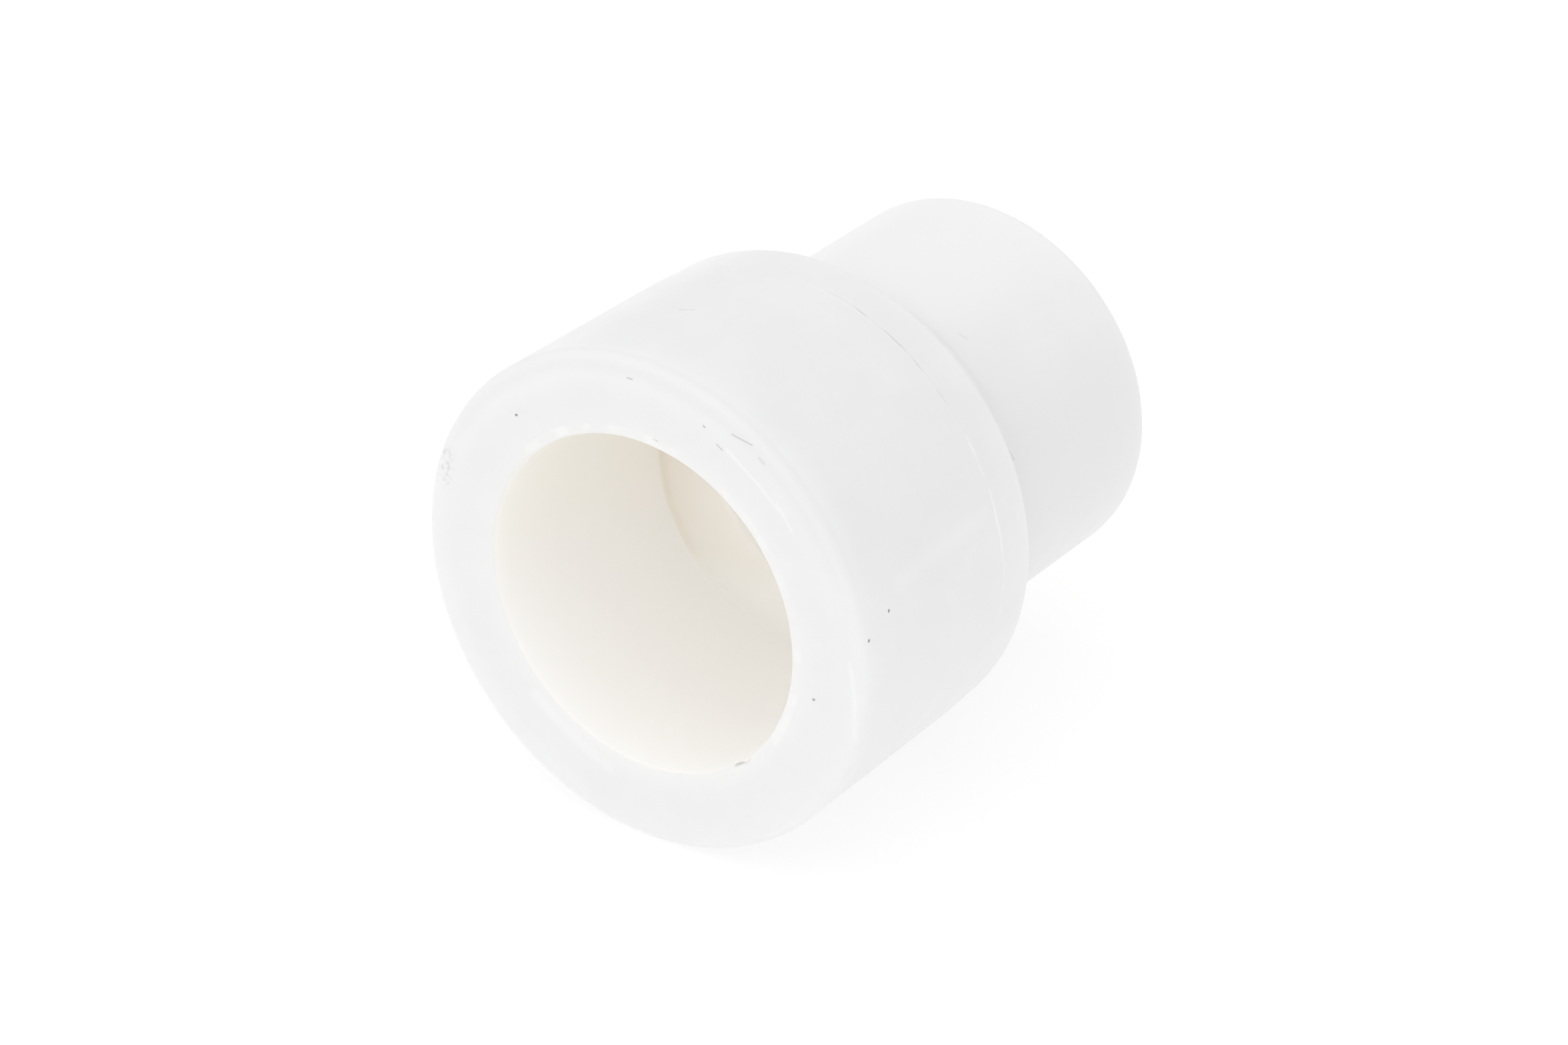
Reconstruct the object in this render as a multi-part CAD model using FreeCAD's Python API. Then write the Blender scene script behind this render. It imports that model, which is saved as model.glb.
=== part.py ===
import FreeCAD, Part
import math
import os

# Plastic reducing socket for socket-fusion pipe, nominal 32 mm to 25 mm.
# One injection moulding in white polypropylene random copolymer (PP-R).
#
# Frame: millimetres. The pipe axis is +Y, from the large mouth to the small
# mouth, and the origin is on it, midway between the two end faces. +Z is up
# with the fitting on its side. Sockets, shoulder and neck are all coaxial.
# The stations named below are measured from the large end face.

# ---- outside -------------------------------------------------------------
# The whole outside draws in towards the small end, as drawn from its mould.
OVERALL_LENGTH = 50.2      # face to face
LARGE_FACE_OD = 44.6       # outside diameter at the large face
CREASE_OD = 43.5           # outside diameter at the faint crease before the shoulder
CREASE_Y = 20.8            # station of that crease
SHOULDER_OD = 43.0         # outside diameter at the edge of the shoulder
SHOULDER_Y = 25.0          # station of the shoulder's edge
NECK_ROOT_OD = 33.7        # outside diameter where the shoulder meets the neck
NECK_START = 30.4          # station of that root
NECK_END_OD = 33.3         # outside diameter at the small face

# ---- inside --------------------------------------------------------------
LARGE_BORE = 30.4          # socket for 32 mm pipe
LARGE_DEPTH = 23.5         # from the large face to the stop
SMALL_BORE = 24.0          # socket for 25 mm pipe
SMALL_DEPTH = 18.4         # from the small face to the stop
THROAT_BORE = 18.0         # waterway through both stops, between the sockets

# ---- edges ---------------------------------------------------------------
# The large face is flat between a faint dish round the mouth and a shallow
# bevel that leads into the rounded rim.
DISH_OD = 33.2             # where the dish round the large mouth begins
DISH_DEPTH = 0.15          # how far the mouth's edge lies below the face
BEVEL_OD = 39.8            # where the rim's bevel begins
BEVEL_DROP = 0.45          # how far back the bevel runs at the rim
LARGE_RIM_R = 0.9          # rounding at the outer end of the bevel
SMALL_RIM_R = 1.3          # outer edge of the small face
LARGE_MOUTH_R = 0.25       # edge of the large mouth
SMALL_MOUTH_R = 0.8        # edge of the small mouth
SHOULDER_EDGE_R = 1.1      # outer edge of the shoulder
NECK_ROOT_R = 1.6          # where the shoulder runs into the neck
CREASE_R = 4.0             # rounding of the crease before the shoulder
LARGE_CORNER_R = 0.6       # inner corner at the foot of the large socket
LARGE_LIP_R = 0.6          # edge of the large socket's stop
SMALL_CORNER_R = 0.35      # inner corner at the foot of the small socket
SMALL_LIP_R = 0.35         # edge of the small socket's stop


# The section is a closed loop of (radius, station, edge radius) corners, walked
# from the large mouth out over the outside and back through the bore.
SECTION = [
    (LARGE_BORE / 2, DISH_DEPTH, LARGE_MOUTH_R),
    (DISH_OD / 2, 0.0, 1.0),
    (BEVEL_OD / 2, 0.0, 3.5),
    (LARGE_FACE_OD / 2, BEVEL_DROP, LARGE_RIM_R),
    (CREASE_OD / 2, CREASE_Y, CREASE_R),
    (SHOULDER_OD / 2, SHOULDER_Y, SHOULDER_EDGE_R),
    (NECK_ROOT_OD / 2, NECK_START, NECK_ROOT_R),
    (NECK_END_OD / 2, OVERALL_LENGTH, SMALL_RIM_R),
    (SMALL_BORE / 2, OVERALL_LENGTH, SMALL_MOUTH_R),
    (SMALL_BORE / 2, OVERALL_LENGTH - SMALL_DEPTH, SMALL_CORNER_R),
    (THROAT_BORE / 2, OVERALL_LENGTH - SMALL_DEPTH, SMALL_LIP_R),
    (THROAT_BORE / 2, LARGE_DEPTH, LARGE_LIP_R),
    (LARGE_BORE / 2, LARGE_DEPTH, LARGE_CORNER_R),
]


def point(r, station):
    return FreeCAD.Vector(r, station - OVERALL_LENGTH / 2, 0.0)


def rounded_loop(corners):
    """A closed wire of straight runs joined by tangent arcs at the corners."""
    n = len(corners)
    spans = []
    for i in range(n):
        prev, here, after = corners[i - 1], corners[i], corners[(i + 1) % n]
        p = point(here[0], here[1])
        a = point(prev[0], prev[1]) - p
        b = point(after[0], after[1]) - p
        a.normalize()
        b.normalize()
        half = 0.5 * a.getAngle(b)
        rad = here[2]
        back = rad / math.tan(half)
        start = p + a * back
        end = p + b * back
        bis = a + b
        bis.normalize()
        mid = p + bis * (rad / math.sin(half) - rad)
        spans.append((start, mid, end))
    edges = []
    for i in range(n):
        start, mid, end = spans[i]
        edges.append(Part.Arc(start, mid, end).toShape())
        nxt = spans[(i + 1) % n][0]
        edges.append(Part.LineSegment(end, nxt).toShape())
    return Part.Wire(edges)


def revolve(corners):
    face = Part.Face(rounded_loop(corners))
    solid = face.revolve(FreeCAD.Vector(0, 0, 0), FreeCAD.Vector(0, 1, 0), 360)
    if solid.ShapeType != "Solid":
        solid = Part.Solid(solid.Shells[0])
    if solid.Volume < 0:
        solid.reverse()
    return solid


reducer_body = revolve(SECTION)

os.makedirs("parts", exist_ok=True)
reducer_body.exportStep("parts/reducer_body.step")

box = reducer_body.optimalBoundingBox(True, False)
print("valid", reducer_body.isValid(), "solids", len(reducer_body.Solids),
      "faces", len(reducer_body.Faces))
print("size", round(box.XLength, 3), round(box.YLength, 3), round(box.ZLength, 3))
print("volume cm3", round(reducer_body.Volume / 1000, 3),
      "centre of mass y", round(reducer_body.CenterOfMass.y, 2))
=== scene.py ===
import math

import bmesh
import bpy
from mathutils import Matrix, Vector, noise


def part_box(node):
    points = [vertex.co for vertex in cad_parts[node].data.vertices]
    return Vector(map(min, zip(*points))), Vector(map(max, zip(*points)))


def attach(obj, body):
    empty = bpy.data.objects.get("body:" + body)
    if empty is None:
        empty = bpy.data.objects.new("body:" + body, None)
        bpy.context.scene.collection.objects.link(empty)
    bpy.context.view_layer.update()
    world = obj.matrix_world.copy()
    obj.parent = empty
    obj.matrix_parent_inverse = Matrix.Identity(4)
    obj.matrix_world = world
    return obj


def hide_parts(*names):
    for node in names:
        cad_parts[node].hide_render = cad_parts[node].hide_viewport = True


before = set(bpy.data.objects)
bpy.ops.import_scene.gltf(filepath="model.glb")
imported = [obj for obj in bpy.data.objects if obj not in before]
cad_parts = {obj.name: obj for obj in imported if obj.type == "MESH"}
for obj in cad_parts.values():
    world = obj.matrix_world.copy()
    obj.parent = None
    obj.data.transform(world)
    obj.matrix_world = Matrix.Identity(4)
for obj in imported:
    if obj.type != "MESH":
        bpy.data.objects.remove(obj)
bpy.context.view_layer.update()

MM = 0.001
scene = bpy.context.scene


# ---------------------------------------------------------------- camera
# The fitting's large mouth faces the viewer's left, seen from above its
# right-hand side. A long lens from just over half a metre.
AZIMUTH, ELEVATION = math.radians(35.866), math.radians(29.09)
forward = Vector((-math.sin(AZIMUTH) * math.cos(ELEVATION), math.cos(AZIMUTH) * math.cos(ELEVATION), -math.sin(ELEVATION)))
right = Vector((math.cos(AZIMUTH), math.sin(AZIMUTH), 0.0))
up = right.cross(forward)

lo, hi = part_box("reducer_body")
LENGTH = (hi.y - lo.y) / MM          # face to face, in mm
mouth_centre = Vector((0.0, lo.y, 0.0))
UNIT = 21.85 * MM                    # the camera's distances are counted in this

cam_data = bpy.data.cameras.new("camera")
cam = bpy.data.objects.new("camera", cam_data)
scene.collection.objects.link(cam)
cam.location = mouth_centre - UNIT * (-0.541 * right - 0.313 * up + 27.432 * forward)
cam.rotation_mode = "QUATERNION"
cam.rotation_quaternion = forward.to_track_quat("-Z", "Y")
cam_data.sensor_fit = "HORIZONTAL"
cam_data.sensor_width = 36.0
cam_data.lens = 36.0 * 11000.0 / 2352.0
cam_data.clip_start, cam_data.clip_end = 0.01, 20.0
scene.camera = cam


# ------------------------------------------------------------- the body
# One moulding, revolved about the pipe axis. A station is the distance from
# the large face, in mm. Each corner is (radius, station, edge radius).
SECTION = [
    (15.20, 0.15, 0.25),
    (16.60, 0.0, 1.0),
    (19.90, 0.0, 3.5),
    (22.30, 0.45, 0.9),
    (21.75, 20.8, 4.0),
    (21.50, 25.0, 1.1),
    (16.85, 30.4, 1.6),
    (16.65, LENGTH, 1.3),
    (12.00, LENGTH, 0.8),
    (12.00, LENGTH - 18.4, 0.35),
    (9.00, LENGTH - 18.4, 0.35),
    (9.00, 23.5, 0.6),
    (15.20, 23.5, 0.6),
]
# how long a facet is on the straight run that follows each corner, in mm
RUN_STEP = [0.35, 0.30, 0.40, 0.85, 0.60, 0.55, 0.85, 0.55, 1.0, 0.7, 0.9, 0.6, 1.0]
AROUND = 448
WITNESS_Y = 20.8                     # station of the mould's joint line


def rounded_profile():
    """Points (radius, station) along the rounded section."""
    n = len(SECTION)
    arcs = []
    for i in range(n):
        p = Vector(SECTION[i][:2])
        a = (Vector(SECTION[i - 1][:2]) - p).normalized()
        b = (Vector(SECTION[(i + 1) % n][:2]) - p).normalized()
        rad = SECTION[i][2]
        half = a.angle(b) / 2
        back = rad / math.tan(half)
        centre = p + (a + b).normalized() * (rad / math.sin(half))
        start, end = p + a * back, p + b * back
        a0 = math.atan2(start.y - centre.y, start.x - centre.x)
        a1 = math.atan2(end.y - centre.y, end.x - centre.x)
        turn = (a1 - a0 + math.pi) % (2 * math.pi) - math.pi
        steps = max(2, round(abs(turn) * max(rad, 0.4) / 0.17))
        steps = min(steps, 12)
        pts = []
        for k in range(steps + 1):
            t = a0 + turn * k / steps
            pts.append(centre + rad * Vector((math.cos(t), math.sin(t))))
        arcs.append(pts)
    out = []
    for i in range(n):
        out += arcs[i]
        s, e = arcs[i][-1], arcs[(i + 1) % n][0]
        run = (e - s).length
        stops = [k / max(1, round(run / RUN_STEP[i])) for k in range(1, max(1, round(run / RUN_STEP[i])))]
        pts = [s.lerp(e, t) for t in stops]
        out += pts
    # finer rings where the mould's joint line stands
    first = next(k for k, p in enumerate(out) if p.x > 21.0 and p.y > WITNESS_Y - 1.0)
    last = next(k for k, p in enumerate(out) if p.x > 21.0 and p.y > WITNESS_Y + 1.0)
    a, b = out[first - 1], out[last]
    fine = [-0.7, -0.45, -0.3, -0.2, -0.1, 0.0, 0.1, 0.2, 0.3, 0.45, 0.7]
    ring = []
    for d in fine:
        y = WITNESS_Y + d
        near = [p for p in out[first - 1:last + 1]]
        for p, q in zip(near, near[1:]):
            if p.y <= y <= q.y:
                ring.append(p.lerp(q, (y - p.y) / (q.y - p.y)))
                break
    out = out[:first] + ring + out[last:]
    return out


def unit_normals(points):
    """The outward normal of the section at each point (radius, station)."""
    n = len(points)
    out = []
    for i in range(n):
        d = (points[(i + 1) % n] - points[i - 1]).normalized()
        out.append(Vector((d.y, -d.x)))
    return out


def smooth(edge0, edge1, x):
    t = min(1.0, max(0.0, (x - edge0) / (edge1 - edge0)))
    return t * t * (3 - 2 * t)


def bump_at(px, pz, cx, cz, size):
    return math.exp(-((px - cx) ** 2 + (pz - cz) ** 2) / (size * size))


def relief(theta, r, s, nr, ns):
    """How far the moulded surface stands off the plain section, in mm."""
    x, z = r * math.cos(theta), r * math.sin(theta)
    p = Vector((x, s, z))
    outside = r > 16.3
    h = 0.0
    # form error of a cooled moulding: slow, shallow waves
    h += 0.016 * noise.noise(p * 0.11) + 0.007 * noise.noise(p * 0.31 + Vector((7, 3, 1)))
    # sink over the thick ring at the stops
    if outside and nr > 0.8:
        h -= 0.030 * math.exp(-((s - 23.0) / 2.2) ** 2)
        h -= 0.018 * math.exp(-((s - 31.6) / 1.6) ** 2)
    # joint line of the mould, a fine broken witness
    if outside and 19.5 < s < 22.0:
        strength = 0.55 + 0.75 * noise.noise(Vector((math.cos(theta) * 3.1, math.sin(theta) * 3.1, 4.0)))
        h += 0.055 * max(0.25, strength) * (1 - 0.7 * smooth(78, 95, abs(math.degrees(theta)))) * math.exp(-((s - WITNESS_Y) / 0.16) ** 2)
    # the large face: cutter chatter and scuffs on its right, faint rings elsewhere
    if ns < -0.97 and r > 15.6:
        h += 0.004 * math.sin(r * 7.5 + 2.0 * noise.noise(p * 0.2))
        deg = math.degrees(theta)
        patch = smooth(-36, -22, deg) * (1 - smooth(20, 30, deg)) * smooth(15.9, 16.6, r) * (1 - smooth(19.4, 20.4, r))
        h -= 0.045 * patch * max(0.0, noise.noise(Vector((x * 1.5, z * 2.6, 1.0))) + 0.10)
    # a nick pressed into the large mouth's edge, low on the right
    if s < 1.6 and r < 16.4:
        d = ((math.degrees(theta) + 46.5) / 2.3) ** 2 + ((r - 15.25) / 0.40) ** 2
        h -= 0.28 * math.exp(-d)
    # edges never run perfectly even
    if abs(nr) > 0.15 and abs(ns) > 0.15:
        h += 0.020 * noise.noise(Vector((math.cos(theta) * 5, math.sin(theta) * 5, s * 0.2)))
    return h


profile = rounded_profile()
normals = unit_normals(profile)
first_bore = min(range(len(profile)), key=lambda i: (profile[i] - Vector((12.0, LENGTH - 0.8))).length)
bm = bmesh.new()
bore_layer = bm.verts.layers.float.new("bore")
deep_layer = bm.verts.layers.float.new("deep")
rings = []
for i, (pt, nv) in enumerate(zip(profile, normals)):
    r, s = pt.x, pt.y
    inside = 0.0
    if i >= first_bore:
        inside = 1.0
    elif s < 0.5 and r < 15.6:          # the mouth's edge
        inside = smooth(0.18, 0.40, s)
    if s >= LENGTH - 0.8 and r < 12.85:
        inside = smooth(0.2, 0.8, LENGTH - s)
    ring = []
    for k in range(AROUND):
        theta = 2 * math.pi * k / AROUND
        signed = math.atan2(math.sin(theta), math.cos(theta))
        h = relief(signed, r, s, nv.x, nv.y)
        rr, ss = r + nv.x * h, s + nv.y * h
        v = bm.verts.new((rr * math.cos(theta) * MM, (ss - LENGTH / 2) * MM, rr * math.sin(theta) * MM))
        v[bore_layer] = inside
        v[deep_layer] = min(1.0, max(0.0, s / 26.0)) if s < 30.0 else min(1.0, (LENGTH - s) / 20.0)
        ring.append(v)
    rings.append(ring)
for i in range(len(rings)):
    a, b = rings[i], rings[(i + 1) % len(rings)]
    for k in range(AROUND):
        m = (k + 1) % AROUND
        f = bm.faces.new((a[k], b[k], b[m], a[m]))
        f.smooth = True
bmesh.ops.recalc_face_normals(bm, faces=bm.faces)
mesh = bpy.data.meshes.new("reducer_moulding")
bm.to_mesh(mesh)
bm.free()
body = bpy.data.objects.new("reducer_moulding", mesh)
scene.collection.objects.link(body)
print("rings", len(rings), "faces", len(mesh.polygons))


# ------------------------------------------------------------- materials
def new_material(name):
    m = bpy.data.materials.new(name)
    m.use_nodes = True
    m.node_tree.nodes.clear()
    return m, m.node_tree


class Nodes:
    """Short ways to write a node tree."""

    def __init__(self, tree):
        self.t = tree

    def add(self, kind, **values):
        n = self.t.nodes.new(kind)
        for k, v in values.items():
            setattr(n, k, v)
        return n

    def put(self, socket, value):
        if isinstance(value, bpy.types.NodeSocket):
            self.t.links.new(value, socket)
        else:
            socket.default_value = value

    def math(self, op, a, b=0.0, c=0.0, clamp=False):
        n = self.add("ShaderNodeMath", operation=op, use_clamp=clamp)
        for s, v in zip(n.inputs, (a, b, c)):
            self.put(s, v)
        return n.outputs[0]

    def vec(self, op, a, b=(0, 0, 0), out=0, scale=None):
        n = self.add("ShaderNodeVectorMath", operation=op)
        self.put(n.inputs[0], a)
        if op not in ("LENGTH", "NORMALIZE", "SCALE"):
            self.put(n.inputs[1], b)
        if scale is not None:
            self.put(n.inputs["Scale"], scale)
        return n.outputs[out]

    def noise(self, coord, scale, detail=2.0, rough=0.5, distort=0.0):
        n = self.add("ShaderNodeTexNoise")
        self.put(n.inputs["Vector"], coord)
        n.inputs["Scale"].default_value = scale
        n.inputs["Detail"].default_value = detail
        n.inputs["Roughness"].default_value = rough
        n.inputs["Distortion"].default_value = distort
        return n.outputs["Fac"]

    def ramp(self, value, lo_, hi_, out_lo=0.0, out_hi=1.0):
        n = self.add("ShaderNodeMapRange", interpolation_type="SMOOTHSTEP", clamp=True)
        self.put(n.inputs[0], value)
        for i, v in enumerate((lo_, hi_, out_lo, out_hi)):
            n.inputs[i + 1].default_value = v
        return n.outputs[0]

    def mix(self, fac, a, b):
        n = self.add("ShaderNodeMix", data_type="RGBA")
        self.put(n.inputs[0], fac)
        self.put(n.inputs[6], a)
        self.put(n.inputs[7], b)
        return n.outputs[2]

    def capsule(self, p, a, b, radius, soft):
        """1 inside a round-ended stroke from a to b in mm, falling to 0 over soft."""
        a, b = Vector(a), Vector(b)
        d = b - a
        pa = self.vec("SUBTRACT", p, tuple(a))
        t = self.math("DIVIDE", self.vec("DOT_PRODUCT", pa, tuple(d), out=1), max(d.length_squared, 1e-9), clamp=True)
        near = self.vec("SCALE", tuple(d), scale=t)
        dist = self.vec("LENGTH", self.vec("SUBTRACT", pa, near), out=1)
        return self.ramp(dist, radius + soft, max(radius - soft * 0.2, 0.0))


ppr, tree = new_material("white_ppr")
N = Nodes(tree)
geo = N.add("ShaderNodeTexCoord")
P = N.vec("SCALE", geo.outputs["Object"], scale=1000.0)       # millimetres
bore = N.add("ShaderNodeAttribute", attribute_name="bore").outputs["Fac"]

# colour: natural white resin, milky clouds; the bore painted paler than the outside as painted light, warmer and
# darker deeper in as painted shade
cloud = N.noise(P, 0.16, 3.0, 0.55)
flow = N.noise(N.vec("MULTIPLY", P, (1.0, 0.22, 1.0)), 0.9, 4.0, 0.6)
outer = N.mix(N.ramp(cloud, 0.3, 0.7), (0.800, 0.801, 0.803, 1), (0.814, 0.815, 0.817, 1))
outer = N.mix(N.ramp(flow, 0.45, 0.75, 0.0, 0.35), outer, (0.792, 0.792, 0.792, 1))
where = N.add("ShaderNodeSeparateXYZ")
N.put(where.inputs[0], P)
px, py, pz = where.outputs
radius_mm = N.vec("LENGTH", N.vec("MULTIPLY", P, (1.0, 0.0, 1.0)), out=1)
rim = N.math("MULTIPLY", N.ramp(radius_mm, 20.2, 21.6), N.ramp(py, -23.2, -24.2))
outer = N.mix(N.math("MULTIPLY", rim, N.ramp(pz, 2.0, 14.0, 0.0, 0.9)), outer, (0.765, 0.765, 0.765, 1))
# painted shading, not a known property of the resin: rim, then top and side of the neck
neck = N.ramp(py, 3.0, 6.5)
outer = N.mix(N.math("MULTIPLY", neck, N.ramp(pz, 12.0, 4.0)), outer, (0.776, 0.776, 0.777, 1))
outer = N.mix(N.math("MULTIPLY", neck, N.ramp(pz, 12.5, 16.0)), outer, (0.830, 0.830, 0.830, 1))
deep = N.add("ShaderNodeAttribute", attribute_name="deep").outputs["Fac"]
# painted light: the bore's wall is painted paler than the outside
inner = N.mix(N.ramp(cloud, 0.3, 0.7), (0.984, 0.978, 0.967, 1), (0.990, 0.985, 0.975, 1))
warm = N.mix(N.ramp(cloud, 0.3, 0.7), (0.984, 0.973, 0.953, 1), (0.989, 0.980, 0.962, 1))
# painted shade: warmer, then darker and browner, deeper into the bore
inner = N.mix(N.ramp(deep, 0.30, 0.80), inner, warm)
inner = N.mix(N.ramp(deep, 0.84, 0.93), inner, (0.961, 0.939, 0.900, 1))
# painted shading, greyer on the upper left of the wall
inner = N.mix(N.ramp(N.math("SUBTRACT", px, pz), 2.0, -22.0, 0.0, 0.80), inner, (0.930, 0.900, 0.850, 1))
# painted shade, brownish, in the corner at the foot of the large socket, none on the lowest part of the wall
foot = N.ramp(N.math("ABSOLUTE", N.math("ADD", py, 1.85)), 0.55, 0.05)
foot = N.math("MULTIPLY", foot, N.ramp(pz, -12.0, -8.0, 0.0, 0.14))
inner = N.mix(foot, inner, (0.50, 0.42, 0.30, 1))
colour = N.mix(bore, outer, inner)

# specks and hairlines in the skin: two ends in mm, half width, softness, strength
marks = [
    ((9.31, -24.90, 18.81), (11.21, -24.79, 18.40), 0.035, 0.07, 0.30),
    ((11.98, -24.86, 17.47), (12.45, -24.86, 17.13), 0.04, 0.20, 0.12),
    ((21.69, -20.57, 4.70), (21.69, -20.52, 4.73), 0.09, 0.08, 0.80),
    ((22.00, -23.77, 3.52), (22.00, -23.72, 3.55), 0.09, 0.08, 0.80),
    ((17.51, -25.10, -2.84), (17.58, -25.10, -2.80), 0.08, 0.08, 0.65),
    ((-12.43, -25.10, 13.81), (-12.36, -25.10, 13.86), 0.08, 0.07, 0.75),
    ((15.85, 5.13, 6.27), (16.06, 5.60, 5.19), 0.03, 0.06, 0.35),
    ((-3.66, -14.53, 21.72), (-2.42, -14.01, 21.88), 0.03, 0.06, 0.28),
    ((9.10, 7.40, 14.15), (9.70, 7.65, 13.75), 0.04, 0.22, 0.07),
    ((-1.08, -24.94, 20.72), (-0.60, -24.96, 20.74), 0.04, 0.07, 0.35),
    ((1.55, -25.04, 15.99), (1.95, -25.04, 15.93), 0.04, 0.07, 0.35),
    ((6.61, -25.08, 18.82), (6.75, -25.08, 18.74), 0.05, 0.06, 0.45),
    ((7.94, -25.10, 17.56), (8.50, -25.10, 17.22), 0.035, 0.06, 0.35),
]
total = None
for a, b, radius, soft, amount in marks:
    one = N.math("MULTIPLY", N.capsule(P, a, b, radius, soft), amount)
    total = one if total is None else N.math("MAXIMUM", total, one)
# a few dust motes pressed into the skin
speck = N.add("ShaderNodeTexVoronoi", feature="F1", voronoi_dimensions="3D")
N.put(speck.inputs["Vector"], P)
speck.inputs["Scale"].default_value = 0.13
dots = N.math("MULTIPLY", N.ramp(speck.outputs["Distance"], 0.014, 0.006), 0.12)
total = N.math("MAXIMUM", total, dots)
smudge = N.math("MULTIPLY", N.capsule(P, (-20.3, -24.9, 5.6), (-20.2, -24.9, 7.6), 0.3, 1.2), N.ramp(N.noise(P, 2.2, 3.0), 0.42, 0.68, 0.0, 0.22))
total = N.math("MAXIMUM", total, smudge)
nick = N.math("MULTIPLY", N.capsule(P, (9.6, -24.75, -11.85), (10.75, -24.80, -10.85), 0.12, 0.22), 0.50)
total = N.math("MAXIMUM", total, nick)
colour = N.mix(total, colour, (0.17, 0.155, 0.14, 1))

# where the mould halves met: painted shade along the line up top, a painted highlight lower down
wander = N.math("MULTIPLY", N.math("SUBTRACT", N.noise(P, 0.35, 2.0), 0.5), 0.7)
off = N.math("ABSOLUTE", N.math("ADD", N.math("ADD", py, 4.28), wander))
line = N.math("MULTIPLY", N.ramp(off, 0.13, 0.03), N.ramp(radius_mm, 21.0, 21.2))
broken = N.noise(P, 0.55, 3.0, 0.6)
# painted shade on the joint line's upper part, broken up
joint_shade = N.math("MULTIPLY", N.math("MULTIPLY", N.ramp(pz, 13.5, 16.5), N.ramp(px, 3.0, 6.0)), N.ramp(broken, 0.40, 0.62, 0.04, 0.30))
colour = N.mix(N.math("MULTIPLY", line, joint_shade), colour, (0.30, 0.29, 0.28, 1))
# painted highlight on the joint line at middle heights
joint_highlight = N.math("MULTIPLY", N.ramp(pz, 15.0, 12.5), N.ramp(pz, -6.0, 1.0))
joint_highlight = N.math("MULTIPLY", joint_highlight, N.ramp(broken, 0.36, 0.60, 0.0, 0.42))
light = N.math("MULTIPLY", N.ramp(off, 0.24, 0.05), N.ramp(radius_mm, 21.0, 21.2))
light = N.math("MULTIPLY", light, joint_highlight)

# painted highlights round the mouth and along the rim, and a painted reflection in a soft arc on the side
face_only = N.ramp(py, -24.2, -24.7)
lip_highlight = N.math("MULTIPLY", N.ramp(N.math("ABSOLUTE", N.math("SUBTRACT", radius_mm, 15.75)), 0.62, 0.25), face_only)
lip_highlight = N.math("MULTIPLY", lip_highlight, N.ramp(N.noise(P, 0.45, 3.0, 0.6), 0.44, 0.66, 0.03, 0.34))
lip_highlight = N.math("MULTIPLY", lip_highlight, N.ramp(N.math("ADD", px, pz), -8.0, 4.0))
light = N.math("MAXIMUM", light, lip_highlight)
pale_highlights = [
    ((8.93, -25.10, 17.39), (12.22, -25.10, 15.10), 0.06, 0.20, 0.36),
    ((12.22, -25.10, 15.10), (14.10, -25.10, 13.45), 0.05, 0.18, 0.30),
    ((13.90, -25.09, 14.05), (15.35, -25.10, 12.00), 0.05, 0.18, 0.30),
    ((20.96, -24.89, 1.66), (21.40, -24.80, -2.0), 0.05, 0.30, 0.22),
    ((21.40, -24.80, -2.0), (21.25, -24.59, -5.54), 0.05, 0.30, 0.22),
    ((-10.92, -25.10, -12.33), (-7.60, -25.10, -14.60), 0.10, 0.80, 0.22),
    ((-7.60, -25.10, -14.60), (-3.32, -25.10, -16.64), 0.10, 0.80, 0.18),
    ((21.26, -18.40, 6.15), (21.04, -14.33, 6.50), 0.10, 1.20, 0.11),
    ((21.04, -14.33, 6.50), (20.95, -10.42, 6.42), 0.10, 1.20, 0.13),
    ((20.95, -10.42, 6.42), (20.72, -5.79, 6.74), 0.10, 1.20, 0.11),
]
for a, b, radius, soft, amount in pale_highlights:
    light = N.math("MAXIMUM", light, N.math("MULTIPLY", N.capsule(P, a, b, radius, soft), amount))
colour = N.mix(light, colour, (0.93, 0.93, 0.925, 1))

# gloss: broad changes from handling, duller in the bore and on the rubbed rim
rough = N.ramp(N.noise(P, 0.30, 2.0, 0.5), 0.3, 0.7, 0.29, 0.35)
rough = N.math("ADD", rough, N.math("MULTIPLY", rim, 0.18))
rough = N.math("ADD", rough, N.math("MULTIPLY", bore, 0.05))

# relief too fine for the mesh: orange peel and grain
peel = N.noise(P, 1.4, 3.0, 0.5)
grain = N.noise(P, 11.0, 3.0, 0.55)
height = N.math("ADD", N.math("MULTIPLY", peel, 0.5), N.math("MULTIPLY", grain, 0.12))
height = N.math("SUBTRACT", height, N.math("MULTIPLY", total, 0.6))
bump = N.add("ShaderNodeBump")
bump.inputs["Strength"].default_value = 0.35
bump.inputs["Distance"].default_value = 0.00004
N.put(bump.inputs["Height"], height)

shader = N.add("ShaderNodeBsdfPrincipled")
N.put(shader.inputs["Base Color"], colour)
N.put(shader.inputs["Roughness"], rough)
N.put(shader.inputs["Normal"], bump.outputs[0])
shader.inputs["IOR"].default_value = 1.49
shader.inputs["Subsurface Weight"].default_value = 0.60
shader.inputs["Subsurface Radius"].default_value = (1.0, 1.0, 1.0)
shader.inputs["Subsurface Scale"].default_value = 0.0045
out = N.add("ShaderNodeOutputMaterial")
tree.links.new(shader.outputs[0], out.inputs[0])
mesh.materials.append(ppr)

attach(body, "root")
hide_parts("reducer_body")


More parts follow.
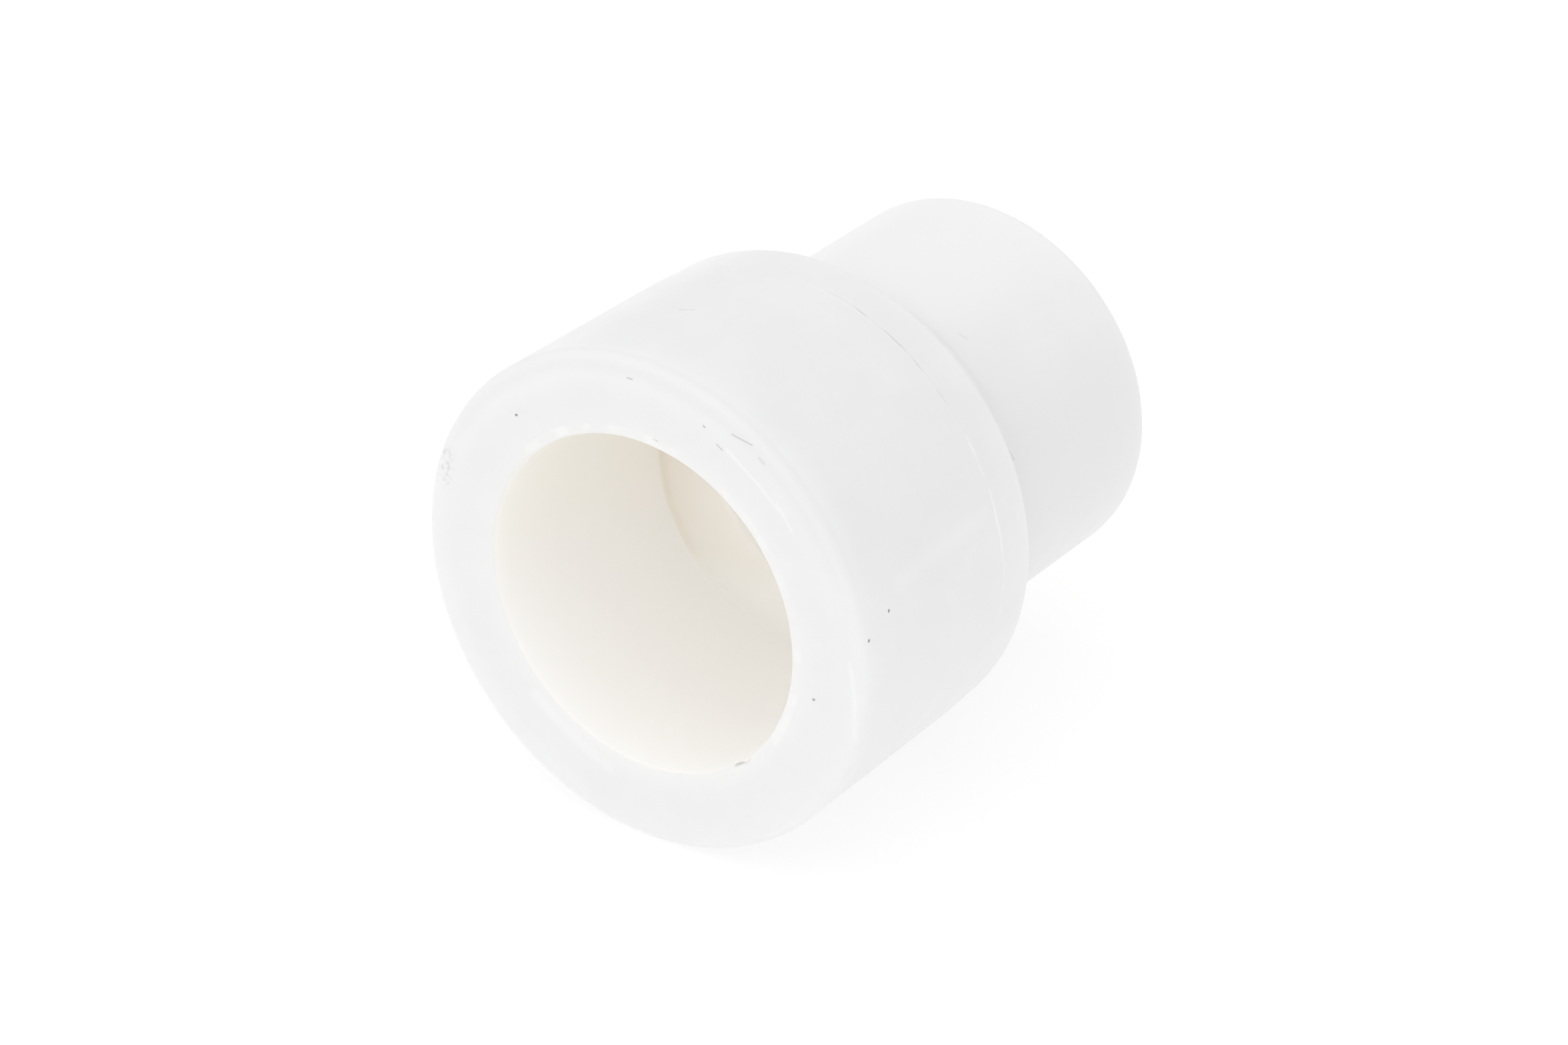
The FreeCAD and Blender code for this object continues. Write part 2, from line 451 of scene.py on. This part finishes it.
# ----------------------------------------------------------------- stage
floor_mat, tree = new_material("studio_floor")
F = Nodes(tree)
co = F.add("ShaderNodeTexCoord").outputs["Object"]
tone = F.ramp(F.noise(co, 3.0, 3.0), 0.3, 0.7)
shader = F.add("ShaderNodeBsdfPrincipled")
F.put(shader.inputs["Base Color"], F.mix(tone, (0.415, 0.415, 0.415, 1), (0.425, 0.425, 0.425, 1)))
shader.inputs["Roughness"].default_value = 0.75
shader.inputs["Specular IOR Level"].default_value = 0.15
shader.inputs["Emission Color"].default_value = (1, 1, 1, 1)
shader.inputs["Emission Strength"].default_value = 0.61
out = F.add("ShaderNodeOutputMaterial")
tree.links.new(shader.outputs[0], out.inputs[0])

bm = bmesh.new()
N_FLOOR, SIZE = 24, 2.4
for j in range(N_FLOOR + 1):
    for i in range(N_FLOOR + 1):
        bm.verts.new((SIZE * (i / N_FLOOR - 0.5), SIZE * (j / N_FLOOR - 0.5), 0.0))
bm.verts.ensure_lookup_table()
for j in range(N_FLOOR):
    for i in range(N_FLOOR):
        q = j * (N_FLOOR + 1) + i
        bm.faces.new((bm.verts[q], bm.verts[q + 1], bm.verts[q + N_FLOOR + 2], bm.verts[q + N_FLOOR + 1]))
floor_mesh = bpy.data.meshes.new("floor")
bm.to_mesh(floor_mesh)
bm.free()
floor = bpy.data.objects.new("floor", floor_mesh)
floor.location = (0.0, 0.0, lo.z)
scene.collection.objects.link(floor)
floor_mesh.materials.append(floor_mat)


# ----------------------------------------------------------------- light
world = bpy.data.worlds.new("studio")
scene.world = world
world.use_nodes = True
wt = world.node_tree
W = Nodes(wt)
background = wt.nodes["Background"]
# a light tent: brightest overhead and to the left, dimmer to the right
heading = W.add("ShaderNodeTexCoord").outputs["Generated"]
tent = W.math("ADD", W.vec("DOT_PRODUCT", heading, (-0.02, -0.11, 0.158), out=1), 0.848)
W.put(background.inputs["Strength"], W.math("MAXIMUM", tent, 0.05))
background.inputs["Color"].default_value = (1.0, 1.0, 1.0, 1)


def area(name, location, target, size, power, colour=(1, 1, 1)):
    data = bpy.data.lights.new(name, "AREA")
    data.shape = "RECTANGLE"
    data.size, data.size_y = size
    data.energy = power
    data.color = colour
    lamp = bpy.data.objects.new(name, data)
    scene.collection.objects.link(lamp)
    lamp.location = location
    lamp.rotation_mode = "QUATERNION"
    lamp.rotation_quaternion = (Vector(target) - Vector(location)).to_track_quat("-Z", "Y")
    return lamp


area("softbox_top", (0.05, -0.30, 0.85), (0, 0, 0), (0.9, 0.9), 1.0)
area("softbox_key", (-0.40, -0.28, 0.63), (0, 0, 0), (0.2, 0.2), 0.06)
area("softbox_front", (-0.55, -0.75, 0.20), (0, 0, 0), (0.4, 0.3), 0.04)

scene.view_settings.view_transform = "Standard"
scene.view_settings.look = "None"
scene.view_settings.exposure = 0.0
scene.view_settings.gamma = 1.0
scene.cycles.max_bounces = 24
scene.cycles.diffuse_bounces = 16
scene.cycles.glossy_bounces = 6
scene.cycles.use_denoising = True
